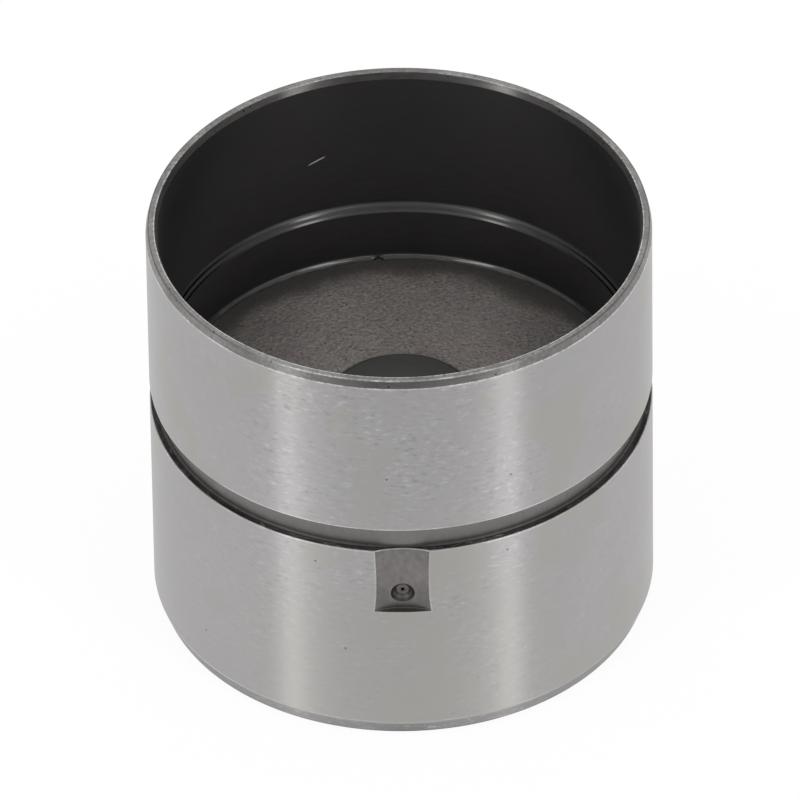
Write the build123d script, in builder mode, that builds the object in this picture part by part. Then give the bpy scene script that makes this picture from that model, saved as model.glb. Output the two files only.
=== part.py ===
from build123d import *
import os
from math import radians, sqrt, tan

# Hydraulic bucket tappet for an engine with overhead camshafts, in millimetres.
# It stands on its cam face with the open skirt upwards, as it lies on a bench.
# The origin is the centre of the cam face and +Z runs along its axis towards the valve.

# Bucket: one steel cup, ground outside, that slides in the cylinder head
bucket_diameter = 35.0
bucket_height = 31.6
crown_thickness = 3.0
skirt_wall = 0.8
neck_wall = 1.3
reservoir_wall = 1.8
web_height = 15.8
neck_length = 3.82
step_height = 0.62
reservoir_corner = 0.8

# Edges of the bucket
foot_chamfer_height = 1.2
foot_chamfer_width = 0.45
mouth_chamfer_height = 0.6
mouth_chamfer_width = 0.15
lead_in_height = 0.52
lead_in_width = 0.2

# Oil groove round the bucket, and the milled pocket that carries oil down to the feed hole
groove_above_web = 0.76
groove_width = 1.89
groove_depth = 0.6
groove_root_chamfer = 0.25
groove_edge_break = 0.05
pocket_cutter_radius = 5.85
pocket_depth = 0.4
pocket_waist = 0.035
pocket_below_hole = 1.4
pocket_flare = 0.05
pocket_flare_height = 1.1
feed_hole_drop = 1.7
feed_countersink_diameter = 1.65
feed_countersink_floor = 0.88
feed_countersink_angle = 90.0
feed_orifice_diameter = 0.25
feed_orifice_overrun = 0.3

# Overflow slot under the crown: oil crosses it from the outer reservoir into the piston
slot_width = 2.6
slot_depth = 0.5
slot_overrun = 2.2

# Guide insert: a pressed web across the bucket with a sleeve down its middle
web_thickness = 1.5
web_roll_width = 1.6
web_roll_drop = 0.25
web_underside_chamfer = 0.7
sleeve_wall = 1.5
sleeve_lead_in = 0.15

# Lip of the bucket rolled in over the edge of the web
lip_width = 0.3
lip_height = 0.27

# Hydraulic element
housing_diameter = 10.2
housing_wall = 1.5
housing_floor = 1.95
housing_chamfer = 0.3
housing_proud = 0.05
housing_stroke = 2.0
housing_end_gap = 0.4
piston_wall = 1.28
piston_end_wall = 1.2
piston_chamfer = 0.2
valve_hole_diameter = 1.8
ball_diameter = 2.8
ball_lift = 0.35
seat_depth = 0.7

# Valve cap: thin pressed top-hat over the ball
cap_sheet = 0.3
cap_flange_inset = 0.35
cap_bend = 0.2
cap_windows = 4
cap_window_width = 1.0
ball_side_room = 0.35
check_spring_wire = 0.16
check_spring_radius = 0.9
check_spring_turns = 1.5

# Return spring between the piston and the inner housing
return_spring_length = 4.8
return_spring_wire = 0.6
return_spring_turns = 3.5
return_spring_side_gap = 0.3
wire_sides = 6

# Clearances
web_seat_clearance = 0.01
running_clearance = 0.02

# Radii and heights that follow
bucket_radius = bucket_diameter / 2
skirt_bore_radius = bucket_radius - skirt_wall
neck_radius = bucket_radius - neck_wall
reservoir_radius = bucket_radius - reservoir_wall
web_seat_z = web_height - web_thickness
web_edge_z = web_height - web_roll_drop
neck_edge_z = web_height + neck_length
groove_z = web_height + groove_above_web
groove_top_z = groove_z + groove_width
groove_bottom_radius = bucket_radius - groove_depth
feed_hole_z = web_seat_z - feed_hole_drop
pocket_z = feed_hole_z - pocket_below_hole
pocket_floor_y = bucket_radius - pocket_depth

housing_radius = housing_diameter / 2
housing_bore_radius = housing_radius - housing_wall
sleeve_bore_radius = housing_radius + running_clearance
sleeve_radius = sleeve_bore_radius + sleeve_wall
housing_face_z = web_height + housing_proud
housing_ceiling_z = housing_face_z - housing_floor
housing_open_z = crown_thickness + housing_end_gap + housing_stroke
piston_radius = housing_bore_radius - running_clearance
cap_flange_top_z = housing_ceiling_z - return_spring_length
piston_top_z = cap_flange_top_z - cap_sheet
piston_bore_radius = piston_radius - piston_wall
piston_ceiling_z = piston_top_z - piston_end_wall

# A ball on a 45 degree seat touches it at this radius, and its centre is that far above
ball_radius = ball_diameter / 2
ball_contact = ball_radius / sqrt(2)
valve_hole_radius = valve_hole_diameter / 2
seat_bottom_z = piston_top_z - seat_depth
ball_z = seat_bottom_z + (ball_contact - valve_hole_radius) + ball_contact
check_spring_z = ball_z + sqrt(ball_radius**2 - check_spring_radius**2)
cap_ceiling_z = ball_z + ball_radius + ball_lift
cap_bore_radius = ball_radius + ball_side_room
cap_flange_radius = piston_radius - cap_flange_inset

os.makedirs("parts", exist_ok=True)

# Bucket: the turned outside first, then the three bores inside
with BuildPart() as bucket_body:
    with BuildSketch(Plane.XZ):
        with BuildLine():
            Polyline(
                (0, 0),
                (bucket_radius - foot_chamfer_width, 0),
                (bucket_radius, foot_chamfer_height),
                (bucket_radius, bucket_height - mouth_chamfer_height),
                (bucket_radius - mouth_chamfer_width, bucket_height),
                (0, bucket_height),
                close=True,
            )
        make_face()
    revolve(axis=Axis.Z)

    # Skirt bore with its lead-in, the step down to the neck, the rolled lip, the seat
    # for the web and the reservoir below it
    with BuildSketch(Plane.XZ):
        with BuildLine():
            lip_root = (neck_radius, web_edge_z + lip_height)
            lip_nose = (neck_radius - lip_width, web_edge_z)
            lip_crest = (neck_radius - lip_width / sqrt(2), web_edge_z + lip_height / sqrt(2))
            Polyline(
                (0, bucket_height),
                (skirt_bore_radius + lead_in_width, bucket_height),
                (skirt_bore_radius, bucket_height - lead_in_height),
                (skirt_bore_radius, neck_edge_z + step_height),
                (neck_radius, neck_edge_z),
                lip_root,
                lip_crest,
                lip_nose,
                (neck_radius, web_edge_z),
                (neck_radius, web_seat_z),
                (reservoir_radius, web_seat_z),
                (reservoir_radius, crown_thickness + reservoir_corner),
                (reservoir_radius - reservoir_corner, crown_thickness),
                (0, crown_thickness),
                close=True,
            )
        make_face()
    revolve(axis=Axis.Z, mode=Mode.SUBTRACT)

    # Oil groove, with bevelled roots and broken edges
    with BuildSketch(Plane.XZ):
        with Locations((bucket_radius, (groove_z + groove_top_z) / 2)):
            Rectangle(2 * groove_depth, groove_width)
    revolve(axis=Axis.Z, mode=Mode.SUBTRACT)
    groove_edges = bucket_body.edges().filter_by(GeomType.CIRCLE)
    groove_edges = groove_edges.filter_by_position(Axis.Z, groove_z, groove_top_z)
    chamfer(
        groove_edges.filter_by(lambda edge: abs(edge.radius - groove_bottom_radius) < 1e-3),
        length=groove_root_chamfer,
    )
    chamfer(
        groove_edges.filter_by(lambda edge: abs(edge.radius - bucket_radius) < 1e-3),
        length=groove_edge_break,
    )

    # Scalloped pocket from the groove down past the feed hole, cut by a form cutter that
    # runs parallel to the axis: slightly waisted, and flared at its foot
    cutter_axis = Axis((0, -pocket_floor_y - pocket_cutter_radius, 0), (0, 0, 1))
    with BuildSketch(Plane.XZ.offset(-cutter_axis.position.Y)):
        with BuildLine():
            cutter_top = groove_z + groove_root_chamfer
            cutter_middle = (pocket_z + groove_z) / 2
            foot_radius = pocket_cutter_radius + pocket_flare
            flare_z = pocket_z + pocket_flare_height
            Polyline(
                (0, cutter_top),
                (0, pocket_z),
                (foot_radius, pocket_z),
                (pocket_cutter_radius + pocket_waist / 2, flare_z),
            )
            Spline(
                (pocket_cutter_radius + pocket_waist / 2, flare_z),
                (pocket_cutter_radius, cutter_middle),
                (pocket_cutter_radius + pocket_waist, cutter_top),
            )
            Line((pocket_cutter_radius + pocket_waist, cutter_top), (0, cutter_top))
        make_face()
    revolve(axis=cutter_axis, mode=Mode.SUBTRACT)

    # Feed hole from the pocket into the reservoir: a countersink with a flat floor, and a
    # fine orifice through what is left of the wall
    countersink_slope = tan(radians(feed_countersink_angle / 2))
    countersink_radius = feed_countersink_diameter / 2
    countersink_floor_radius = feed_countersink_floor / 2
    orifice_radius = feed_orifice_diameter / 2
    countersink_depth = (countersink_radius - countersink_floor_radius) / countersink_slope
    countersink_floor_y = -pocket_floor_y + countersink_depth
    with BuildSketch(Plane.YZ):
        with BuildLine():
            wall_opening = countersink_radius + pocket_depth * countersink_slope
            Polyline(
                (-bucket_radius, feed_hole_z),
                (-bucket_radius, feed_hole_z + wall_opening),
                (countersink_floor_y, feed_hole_z + countersink_floor_radius),
                (countersink_floor_y, feed_hole_z + orifice_radius),
                (-reservoir_radius + feed_orifice_overrun, feed_hole_z + orifice_radius),
                (-reservoir_radius + feed_orifice_overrun, feed_hole_z),
                close=True,
            )
        make_face()
    revolve(axis=Axis((0, 0, feed_hole_z), (0, 1, 0)), mode=Mode.SUBTRACT)

    # Overflow slot in the crown, from inside the piston to beyond the sleeve
    slot_reach = sleeve_radius + slot_overrun
    with BuildSketch(Plane.XY.offset(crown_thickness)):
        with Locations((0, slot_reach / 2)):
            SlotOverall(slot_reach + slot_width, slot_width, rotation=90)
    extrude(amount=-slot_depth, mode=Mode.SUBTRACT)

# Guide insert: web and sleeve in one pressing, trapped between the seat and the lip
web_radius = neck_radius - web_seat_clearance
with BuildPart() as guide_sleeve:
    with BuildSketch(Plane.XZ):
        with BuildLine():
            Polyline(
                (sleeve_bore_radius, crown_thickness),
                (sleeve_bore_radius, web_height - sleeve_lead_in),
                (sleeve_bore_radius + sleeve_lead_in, web_height),
                (web_radius - web_roll_width, web_height),
                (neck_radius - lip_width, web_edge_z),
                (web_radius, web_edge_z),
                (web_radius, web_seat_z),
                (sleeve_radius, web_seat_z),
                (sleeve_radius, crown_thickness),
                close=True,
            )
        make_face()
    revolve(axis=Axis.Z)
    under_web = guide_sleeve.edges().filter_by(GeomType.CIRCLE)
    under_web = under_web.filter_by_position(Axis.Z, web_seat_z - 1e-3, web_seat_z + 1e-3)
    chamfer(under_web.sort_by(SortBy.RADIUS)[0], length=web_underside_chamfer)

# Inner housing: cup with its closed face on the valve stem, sliding in the sleeve
with BuildPart() as inner_housing:
    with BuildSketch(Plane.XY.offset(housing_open_z)):
        Circle(housing_radius)
    extrude(amount=housing_face_z - housing_open_z)
    with BuildSketch(Plane.XY.offset(housing_open_z)):
        Circle(housing_bore_radius)
    extrude(amount=housing_ceiling_z - housing_open_z, mode=Mode.SUBTRACT)
    face_edge = inner_housing.faces().sort_by(Axis.Z)[-1].edges()
    open_edges = inner_housing.faces().sort_by(Axis.Z)[0].edges()
    chamfer(face_edge, length=housing_chamfer)
    chamfer(open_edges, length=piston_chamfer)

# Piston: stands on the crown, hollow for oil, with the ball's seat at its upper end
with BuildPart() as piston:
    with BuildSketch(Plane.XZ):
        with BuildLine():
            Polyline(
                (piston_bore_radius, crown_thickness),
                (piston_radius, crown_thickness),
                (piston_radius, piston_top_z),
                (valve_hole_radius + seat_depth, piston_top_z),
                (valve_hole_radius, seat_bottom_z),
                (valve_hole_radius, piston_ceiling_z),
                (piston_bore_radius, piston_ceiling_z),
                close=True,
            )
        make_face()
    revolve(axis=Axis.Z)
    rim_edges = piston.edges().filter_by(GeomType.CIRCLE).group_by(SortBy.RADIUS)[-1]
    chamfer(rim_edges, length=piston_chamfer)

# Check ball on its seat
with BuildPart(Plane.XY.offset(ball_z)) as check_ball:
    Sphere(ball_radius)

# Valve cap: flange under the return spring, cup over the ball, windows for the oil
with BuildPart() as valve_cap:
    with BuildSketch(Plane.XY.offset(piston_top_z)):
        Circle(cap_flange_radius)
    extrude(amount=cap_sheet)
    with BuildSketch(Plane.XY.offset(piston_top_z)):
        Circle(cap_bore_radius + cap_sheet)
    extrude(amount=cap_ceiling_z + cap_sheet - piston_top_z)
    with BuildSketch(Plane.XY.offset(piston_top_z)):
        Circle(cap_bore_radius)
    extrude(amount=cap_ceiling_z - piston_top_z, mode=Mode.SUBTRACT)
    cup_edges = valve_cap.edges().filter_by(GeomType.CIRCLE)
    cup_edges = cup_edges.filter_by(lambda edge: abs(edge.radius - cap_bore_radius - cap_sheet) < 1e-3)
    chamfer(cup_edges, length=cap_bend)
    window_low_z = cap_flange_top_z + cap_bend
    window_high_z = cap_ceiling_z - cap_bend
    with BuildSketch(Plane.XZ):
        with Locations((0, (window_low_z + window_high_z) / 2)):
            Rectangle(cap_window_width, window_high_z - window_low_z)
    window = extrude(amount=cap_bore_radius + 2 * cap_sheet, mode=Mode.PRIVATE)
    with PolarLocations(0, cap_windows):
        add(window, mode=Mode.SUBTRACT)

# Coil springs with ends ground flat


def coil_spring(low_z, length, mean_radius, wire, turns):
    """Round wire, drawn with a few flats, along a helix that is ground square at both ends."""
    rise = length - wire / 2
    with BuildPart() as spring:
        with BuildLine():
            path = Helix(rise / turns, rise, mean_radius, center=(0, 0, low_z + wire / 4))
        with BuildSketch(Plane(origin=path @ 0, z_dir=path % 0)):
            RegularPolygon(wire / 2, wire_sides)
        sweep(path=path, is_frenet=True)
        split(bisect_by=Plane.XY.offset(low_z), keep=Keep.TOP)
        split(bisect_by=Plane.XY.offset(low_z + length), keep=Keep.BOTTOM)
    return spring


return_spring = coil_spring(
    cap_flange_top_z,
    return_spring_length,
    housing_bore_radius - return_spring_side_gap - return_spring_wire / 2,
    return_spring_wire,
    return_spring_turns,
)
check_spring = coil_spring(
    check_spring_z,
    cap_ceiling_z - check_spring_z,
    check_spring_radius,
    check_spring_wire,
    check_spring_turns,
)

bucket_body.part.label = "bucket_body"
guide_sleeve.part.label = "guide_sleeve"
inner_housing.part.label = "inner_housing"
piston.part.label = "piston"
check_ball.part.label = "check_ball"
valve_cap.part.label = "valve_cap"
return_spring.part.label = "return_spring"
check_spring.part.label = "check_spring"

export_step(bucket_body.part, "parts/bucket_body.step")
export_step(guide_sleeve.part, "parts/guide_sleeve.step")
export_step(inner_housing.part, "parts/inner_housing.step")
export_step(piston.part, "parts/piston.step")
export_step(check_ball.part, "parts/check_ball.step")
export_step(valve_cap.part, "parts/valve_cap.step")
export_step(return_spring.part, "parts/return_spring.step")
export_step(check_spring.part, "parts/check_spring.step")
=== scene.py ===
from math import cos, pi, radians, sin

import bmesh
import bpy
import numpy as np
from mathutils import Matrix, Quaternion, Vector


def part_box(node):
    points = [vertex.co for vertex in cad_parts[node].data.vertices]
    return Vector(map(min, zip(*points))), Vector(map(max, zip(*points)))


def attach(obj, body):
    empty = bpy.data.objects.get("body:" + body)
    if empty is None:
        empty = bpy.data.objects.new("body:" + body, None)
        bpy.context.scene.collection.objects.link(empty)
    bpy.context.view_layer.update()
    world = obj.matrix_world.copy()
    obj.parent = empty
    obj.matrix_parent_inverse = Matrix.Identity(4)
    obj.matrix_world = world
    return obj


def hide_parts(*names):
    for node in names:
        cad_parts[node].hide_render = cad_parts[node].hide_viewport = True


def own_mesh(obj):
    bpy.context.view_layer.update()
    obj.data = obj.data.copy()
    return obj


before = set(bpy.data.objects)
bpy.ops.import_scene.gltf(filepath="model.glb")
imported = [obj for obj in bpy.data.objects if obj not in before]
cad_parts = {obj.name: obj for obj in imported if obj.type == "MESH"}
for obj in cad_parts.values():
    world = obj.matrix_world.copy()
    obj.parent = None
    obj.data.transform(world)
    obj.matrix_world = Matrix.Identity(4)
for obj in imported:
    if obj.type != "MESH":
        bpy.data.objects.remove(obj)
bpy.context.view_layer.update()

scene = bpy.context.scene
scene.view_settings.view_transform = "Standard"
mm = 0.001

# Studio: a long lens looks down at the tappet, which stands on white. The room is white
# too, but darker low down behind the camera, where a tall strip light stands on either side.
camera_distance = 1.213
camera_azimuth, camera_elevation, camera_roll = 0.33, 39.79, -0.846
camera_lens = 777.5
camera_aim = Vector((-0.09 * mm, 0, 15.8 * mm))
strip_azimuths = {"strip_light_left": -47.4, "strip_light_right": 45.1}
strip_elevation, strip_distance = 35.0, 1.4
strip_width, strip_height, strip_power = 0.22, 1.8, 3.5
strip_colour = (1.0, 1.005, 0.965)


def towards(azimuth, elevation):
    """Unit vector from the tappet to a compass place: azimuth 0 is the camera's side, -Y."""
    turn, rise = radians(azimuth), radians(elevation)
    return Vector((sin(turn) * cos(rise), -cos(turn) * cos(rise), sin(rise)))


def place(name, data):
    """Puts new object data into the scene."""
    thing = bpy.data.objects.new(name, data)
    scene.collection.objects.link(thing)
    return thing


def fill(tree, node, inputs):
    """Gives a shader node's sockets plain values or links from other sockets."""
    for socket, value in inputs.items():
        if isinstance(value, bpy.types.NodeSocket):
            tree.links.new(value, node.inputs[socket])
        else:
            node.inputs[socket].default_value = value
    return node


def add_node(tree, kind, inputs=None, **settings):
    """Adds a shader node with its settings and inputs."""
    node = tree.nodes.new("ShaderNode" + kind)
    for name, value in settings.items():
        setattr(node, name, value)
    return fill(tree, node, inputs or {})


def maths(tree, operation, *values, clamp=False):
    """One step of arithmetic in a shader, on sockets or plain numbers."""
    inputs = dict(enumerate(values))
    return add_node(tree, "Math", inputs, operation=operation, use_clamp=clamp).outputs[0]


def times(tree, value, *factors, clamp=False):
    """A value multiplied by each factor in turn, in a shader, and kept from 0 to 1 if asked."""
    for factor in factors:
        value = maths(tree, "MULTIPLY", value, factor, clamp=clamp)
    return value


def ramp(tree, value, start, end, low=0.0, high=1.0, smooth=False):
    """Goes from low to high as a value goes from start to end, and stays there beyond them."""
    inputs = {"Value": value, "From Min": start, "From Max": end, "To Min": low, "To Max": high}
    kind = "SMOOTHSTEP" if smooth else "LINEAR"
    return add_node(tree, "MapRange", inputs, interpolation_type=kind).outputs[0]


def ray_kinds(tree):
    """Whether a ray is the camera's own, and whether it sees a surface straight, off metal or
    through glass, rather than only bringing fill light."""
    path = add_node(tree, "LightPath").outputs
    mirrored = maths(tree, "MAXIMUM", path["Is Glossy Ray"], path["Is Transmission Ray"])
    return path["Is Camera Ray"], maths(tree, "MAXIMUM", path["Is Camera Ray"], mirrored)


camera = place("camera", bpy.data.cameras.new("camera"))
camera.data.lens = camera_lens
camera.data.clip_start, camera.data.clip_end = 0.1, 20
camera.location = towards(camera_azimuth, camera_elevation) * camera_distance
camera.rotation_mode = "QUATERNION"
looking = (camera_aim - camera.location).to_track_quat("-Z", "Y")
camera.rotation_quaternion = looking @ Quaternion((0, 0, 1), radians(camera_roll))
scene.camera = camera

for name, azimuth in strip_azimuths.items():
    strip = place(name, bpy.data.lights.new(name, "AREA"))
    strip.data.shape = "RECTANGLE"
    strip.data.size, strip.data.size_y = strip_width, strip_height
    strip.data.energy, strip.data.color = strip_power, strip_colour
    strip.location = towards(azimuth, strip_elevation) * strip_distance
    strip.rotation_mode = "QUATERNION"
    strip.rotation_quaternion = (-strip.location).to_track_quat("-Z", "Y")
    strip.visible_camera = False

# Room: white as the camera and the metal see it, and even light besides. It darkens from
# ahead of the camera to the sides and on to behind it, between the floor and the ceiling.
room_light = 0.85
side_darkness, most_darkness = 0.5, 0.85
ahead_to_sides, sides_to_behind = (0.85, 0.5), (-0.4, -1.0)
up_from_floor, down_from_ceiling = (-0.16, 0.02), (0.7, 0.35)
room = bpy.data.worlds.new("white_room")
scene.world = room
room.cycles.sampling_method = "NONE"
room.use_nodes = True
sky = room.node_tree
sky.nodes.clear()
by_camera, seen = ray_kinds(sky)
way = add_node(sky, "SeparateXYZ", {0: add_node(sky, "TexCoord").outputs["Generated"]}).outputs
around = ramp(sky, way["Y"], *ahead_to_sides)
behind_camera = ramp(sky, way["Y"], *sides_to_behind, low=side_darkness, high=most_darkness)
above_floor = ramp(sky, way["Z"], *up_from_floor, smooth=True)
below_ceiling = ramp(sky, way["Z"], *down_from_ceiling, smooth=True)
darkness = times(sky, around, behind_camera, above_floor, below_ceiling)
mirrored_room = maths(sky, "SUBTRACT", 1.0, darkness)
shown_room = ramp(sky, by_camera, 0.0, 1.0, low=mirrored_room)
strength = ramp(sky, seen, 0.0, 1.0, low=room_light, high=shown_room)
backdrop = add_node(sky, "Background", {"Strength": strength})
sky.links.new(backdrop.outputs[0], add_node(sky, "OutputWorld").inputs["Surface"])

# Floor: white paper that takes the tappet's shadow. It is dim in the metal from a little way
# in front of the tappet on, and clear from below, so that the cam face can be looked at.
floor_reach, floor_gap = 3.0, 0.02
paper_white, shadow_share, paper_glow = (0.8, 0.8, 0.8, 1), (0.1, 0.1, 0.1, 1), 0.92
dim_paper, dim_from, dim_to = 0.3, -0.08, -0.22
floor_corners = np.array([(-1, -1, 0), (1, -1, 0), (1, 1, 0), (-1, 1, 0)]) * floor_reach
floor_corners[:, 2] = -floor_gap * mm
floor_mesh = bpy.data.meshes.new("floor")
floor_mesh.from_pydata(floor_corners.tolist(), [], [(0, 1, 2, 3)])
floor = place("floor", floor_mesh)
paper = bpy.data.materials.new("white_paper")
paper.cycles.emission_sampling = "NONE"
paper.use_nodes = True
sheet = paper.node_tree
sheet.nodes.clear()
by_camera, seen = ray_kinds(sheet)
lit_paper = add_node(sheet, "BsdfDiffuse", {"Color": paper_white}).outputs[0]
shadow_part = add_node(sheet, "BsdfDiffuse", {"Color": shadow_share}).outputs[0]
spot = add_node(sheet, "SeparateXYZ", {0: add_node(sheet, "TexCoord").outputs["Object"]})
towards_camera = ramp(
    sheet, spot.outputs["Y"], dim_from, dim_to, low=paper_glow, high=dim_paper, smooth=True
)
glow = ramp(sheet, by_camera, 0.0, 1.0, low=towards_camera, high=paper_glow)
glow_part = add_node(sheet, "Emission", {"Color": (1, 1, 1, 1), "Strength": glow}).outputs[0]
bright_paper = add_node(sheet, "AddShader", {0: glow_part, 1: shadow_part}).outputs[0]
top_side = add_node(sheet, "MixShader", {0: seen, 1: lit_paper, 2: bright_paper}).outputs[0]
from_below = add_node(sheet, "NewGeometry").outputs["Backfacing"]
clear = add_node(sheet, "BsdfTransparent").outputs[0]
paper_mix = add_node(sheet, "MixShader", {0: from_below, 1: top_side, 2: clear})
sheet.links.new(paper_mix.outputs[0], add_node(sheet, "OutputMaterial").inputs["Surface"])
floor_mesh.materials.append(paper)

# Bucket: one cup of hardened steel, turned all over and ground on the outside, with an oil
# groove, a milled pocket and a countersunk feed hole. Its bores are black from hardening,
# its edges are worn bright, in places with painted highlight, and its lip is rolled in over
# the web.
bucket_radius, bucket_foot, bucket_height = 17.5, 0.0, 31.6
crown_top = 3.0
crown_corner = 0.8
skirt_bore, neck_bore, reservoir_bore = 16.7, 16.2, 15.7
foot_chamfer = (0.45, 1.2)
mouth_chamfer = (0.15, 0.6)
lead_in = (0.2, 0.52)
groove_low, groove_high, groove_bottom = 16.56, 18.45, 16.9
groove_root = 0.2
neck_top, step_top, step_round = 19.62, 20.24, 0.4
lip_nose, lip_low, lip_high = 15.9, 15.55, 15.87
lip_start, lip_hollow, lip_ridge = (16.135, 15.81), (16.07, 15.75), (16.01, 15.705)
lip_gap, lip_gap_width = pi + radians(5.8), 0.55
glint_azimuth, glint_reach = radians(20), radians(8)
front_azimuth = radians(30)
web_seat = 14.3
pocket_foot, pocket_axis, pocket_foot_round, pocket_middle = 11.2, 22.95, 0.05, 14.0
cutter_radius, cutter_waist, cutter_flare, flare_height = 5.85, 0.035, 0.03, 1.1
hole_height, hole_block, block_cells = 12.6, 0.95, 16
countersink_radius, countersink_floor, orifice_radius = 0.825, 0.44, 0.125
slot_half_width, slot_depth, slot_middle, slot_half_run = 1.3, 0.5, 4.41, 4.41
edge_break, bright_strip = 0.05, 0.14
columns_round, columns_pocket = 400, 28
column_blend = radians(9.0)
ground, turned, milled, black, rolled = range(5)


def turned_profile(*corners, steps=4, margin=0.05):
    """Profile of a turned part from its corners, each (radius, height, rounding, wear and
    painted light on the corner, wear and painted light on the run that follows, finish of
    that run), with 0 for what is left out, and a finish that holds until the next. Wear here
    is real wear and dirt, and in places painted highlight and painted shade. A rounding r
    becomes an arc: its point at angle a is start + r (sin a along the first run + (1 - cos a)
    across it). A point just inside either end of a run keeps its shading flat. Rows are
    radius, height, wear and painted light, and finish."""
    table, kind = [], ground
    for corner in corners:
        kind = corner[5] if len(corner) == 6 else kind
        table.append([*corner, 0, 0, 0][:5] + [kind])
    table = np.array(table, float)
    points, rounding, corner_wear_and_light, run_wear_and_light, finish = table[:, :2], *table[:, 2:].T
    runs = np.diff(points, axis=0)
    lengths = np.hypot(*runs.T)
    ways = runs / lengths[:, None]
    cross = ways[:-1, 0] * ways[1:, 1] - ways[:-1, 1] * ways[1:, 0]
    turns = np.arctan2(cross, (ways[:-1] * ways[1:]).sum(1))
    reach = np.zeros(len(points))
    reach[1:-1] = rounding[1:-1] * np.tan(np.abs(turns) / 2)
    margins = np.minimum(margin, (lengths - reach[:-1] - reach[1:]) / 3)

    def rows_of(places, wear_and_light, kind):
        places = np.atleast_2d(places)
        return np.column_stack([places, np.full((len(places), 2), (wear_and_light, kind))])

    rows = [rows_of(points[0], run_wear_and_light[0], finish[0])]
    for k, turn in enumerate(turns, start=1):
        corner, before, after = points[k], ways[k - 1], ways[k]
        if abs(turn) < 1e-6:
            rows.append(rows_of(corner, corner_wear_and_light[k], finish[k]))
            continue
        angle = np.linspace(0, abs(turn), steps + 1 if reach[k] > 0 else 1)[:, None]
        inwards = np.sign(turn) * np.array([-before[1], before[0]])
        start, end = corner - before * reach[k], corner + after * reach[k]
        arc = start + rounding[k] * (np.sin(angle) * before + (1 - np.cos(angle)) * inwards)
        rows.append(rows_of(start - before * margins[k - 1], run_wear_and_light[k - 1], finish[k - 1]))
        rows.append(rows_of(arc, corner_wear_and_light[k], finish[k]))
        rows.append(rows_of(end + after * margins[k], run_wear_and_light[k], finish[k]))
    rows.append(rows_of(points[-1], run_wear_and_light[-2], finish[-1]))
    return np.vstack(rows)


def turned_points(profile, angles):
    """Surface of revolution: (r sin a, -r cos a, z) for each profile row and each angle a,
    which is 0 at the camera's side. Rows x columns x 3, in millimetres."""
    radius, height = profile[:, :1], profile[:, 1:2] + 0 * angles
    return np.stack([radius * np.sin(angles), -radius * np.cos(angles), height], -1)


def grid_faces(rows, columns, ring=False):
    """Quads of a rows x columns grid that closes on itself round the columns, and with ring
    also round the rows, turned so that a profile run upwards on the outside faces out."""
    low = np.arange(rows if ring else rows - 1)[:, None]
    high = (low + 1) % rows
    left = np.arange(columns)[None, :]
    right = (left + 1) % columns
    corners = [low * columns + left, low * columns + right, high * columns + right]
    return np.stack([*corners, high * columns + left], -1)


def make_piece(name, points, faces, finishes, face_finish=None, sharp=30.0, wear_and_light=None):
    """Mesh from points in millimetres and quads, with doubles at poles merged, one material
    slot per finish, and the wear and painted light of each point, 1 for bright and -1 for
    dark, kept with it."""
    mesh = bpy.data.meshes.new(name)
    mesh.from_pydata((points.reshape(-1, 3) * mm).tolist(), [], faces.reshape(-1, 4).tolist())
    for finish in finishes:
        mesh.materials.append(finish)
    if face_finish is not None:
        mesh.polygons.foreach_set("material_index", face_finish.ravel().astype(np.int32))
    if wear_and_light is not None:
        kept = mesh.attributes.new("wear_and_light", "FLOAT", "POINT")
        kept.data.foreach_set("value", wear_and_light.ravel().astype(np.float32))
    shape = bmesh.new()
    shape.from_mesh(mesh)
    bmesh.ops.remove_doubles(shape, verts=shape.verts, dist=1e-8)
    loose = [vertex for vertex in shape.verts if not vertex.link_faces]
    bmesh.ops.delete(shape, geom=loose, context="VERTS")
    shape.to_mesh(mesh)
    shape.free()
    mesh.polygons.foreach_set("use_smooth", np.ones(len(mesh.polygons), bool))
    mesh.set_sharp_from_angle(angle=radians(sharp))
    return place(name, mesh)


def cutter_at(height):
    """Radius of the form cutter that leaves the pocket: waisted by a parabola in the middle
    of its length, and flared in a straight line at its foot."""
    middle = (pocket_foot + groove_low) / 2
    along = (height - middle) / (groove_low - middle)
    flare = np.clip((pocket_foot + flare_height - height) / flare_height, 0, 1)
    return cutter_radius + cutter_waist * along**2 + cutter_flare * flare


def pocket_edge(height):
    """Angle from the pocket's middle at which the cutter's circle meets the ground wall, by
    the law of cosines."""
    cutter = cutter_at(np.clip(height, pocket_foot, groove_low))
    square = bucket_radius**2 + pocket_axis**2 - cutter**2
    return np.arccos(square / (2 * bucket_radius * pocket_axis))


def pocket_radius(angle, height):
    """Distance from the bucket's axis to the pocket's floor: the near crossing of a ray from
    the axis with the cutter's circle, d cos a - sqrt(c^2 - d^2 sin^2 a). At its foot the floor
    turns out to the wall in a quarter of an ellipse, as the cutter's corner leaves it."""
    cutter = cutter_at(height)
    under_root = np.maximum(cutter**2 - (pocket_axis * np.sin(angle)) ** 2, 0)
    floor_radius = pocket_axis * np.cos(angle) - np.sqrt(under_root)
    up = np.clip((height - pocket_foot) / pocket_foot_round, 0, 1)
    outwards = 1 - np.sqrt(1 - (1 - up) ** 2)
    return floor_radius + (bucket_radius - floor_radius) * outwards


def cut_by_pocket(angle, height):
    """Which places on the wall lie in the pocket, and the radius of the wall at all of them."""
    inside = np.abs(angle) < pocket_edge(height) + 1e-9
    sunk = np.minimum(pocket_radius(angle, height), bucket_radius)
    return inside, np.where(inside, sunk, bucket_radius)


# Columns: stations run from -1 to 1 across the pocket, to 2 where they stop following it
break_station = edge_break / (bucket_radius * pocket_edge(pocket_middle))
inside = np.linspace(-1 + break_station, 1 - break_station, columns_pocket + 1)
beyond_edge = 1 + break_station * np.array([1.6, 3.4])
station_beyond = np.concatenate([beyond_edge, [1.12, 1.35, 1.6, 1.8]])
stations = np.concatenate([-station_beyond[::-1], inside, station_beyond])
rest_of_circle = np.linspace(column_blend, 2 * pi - column_blend, columns_round + 1)


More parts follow.
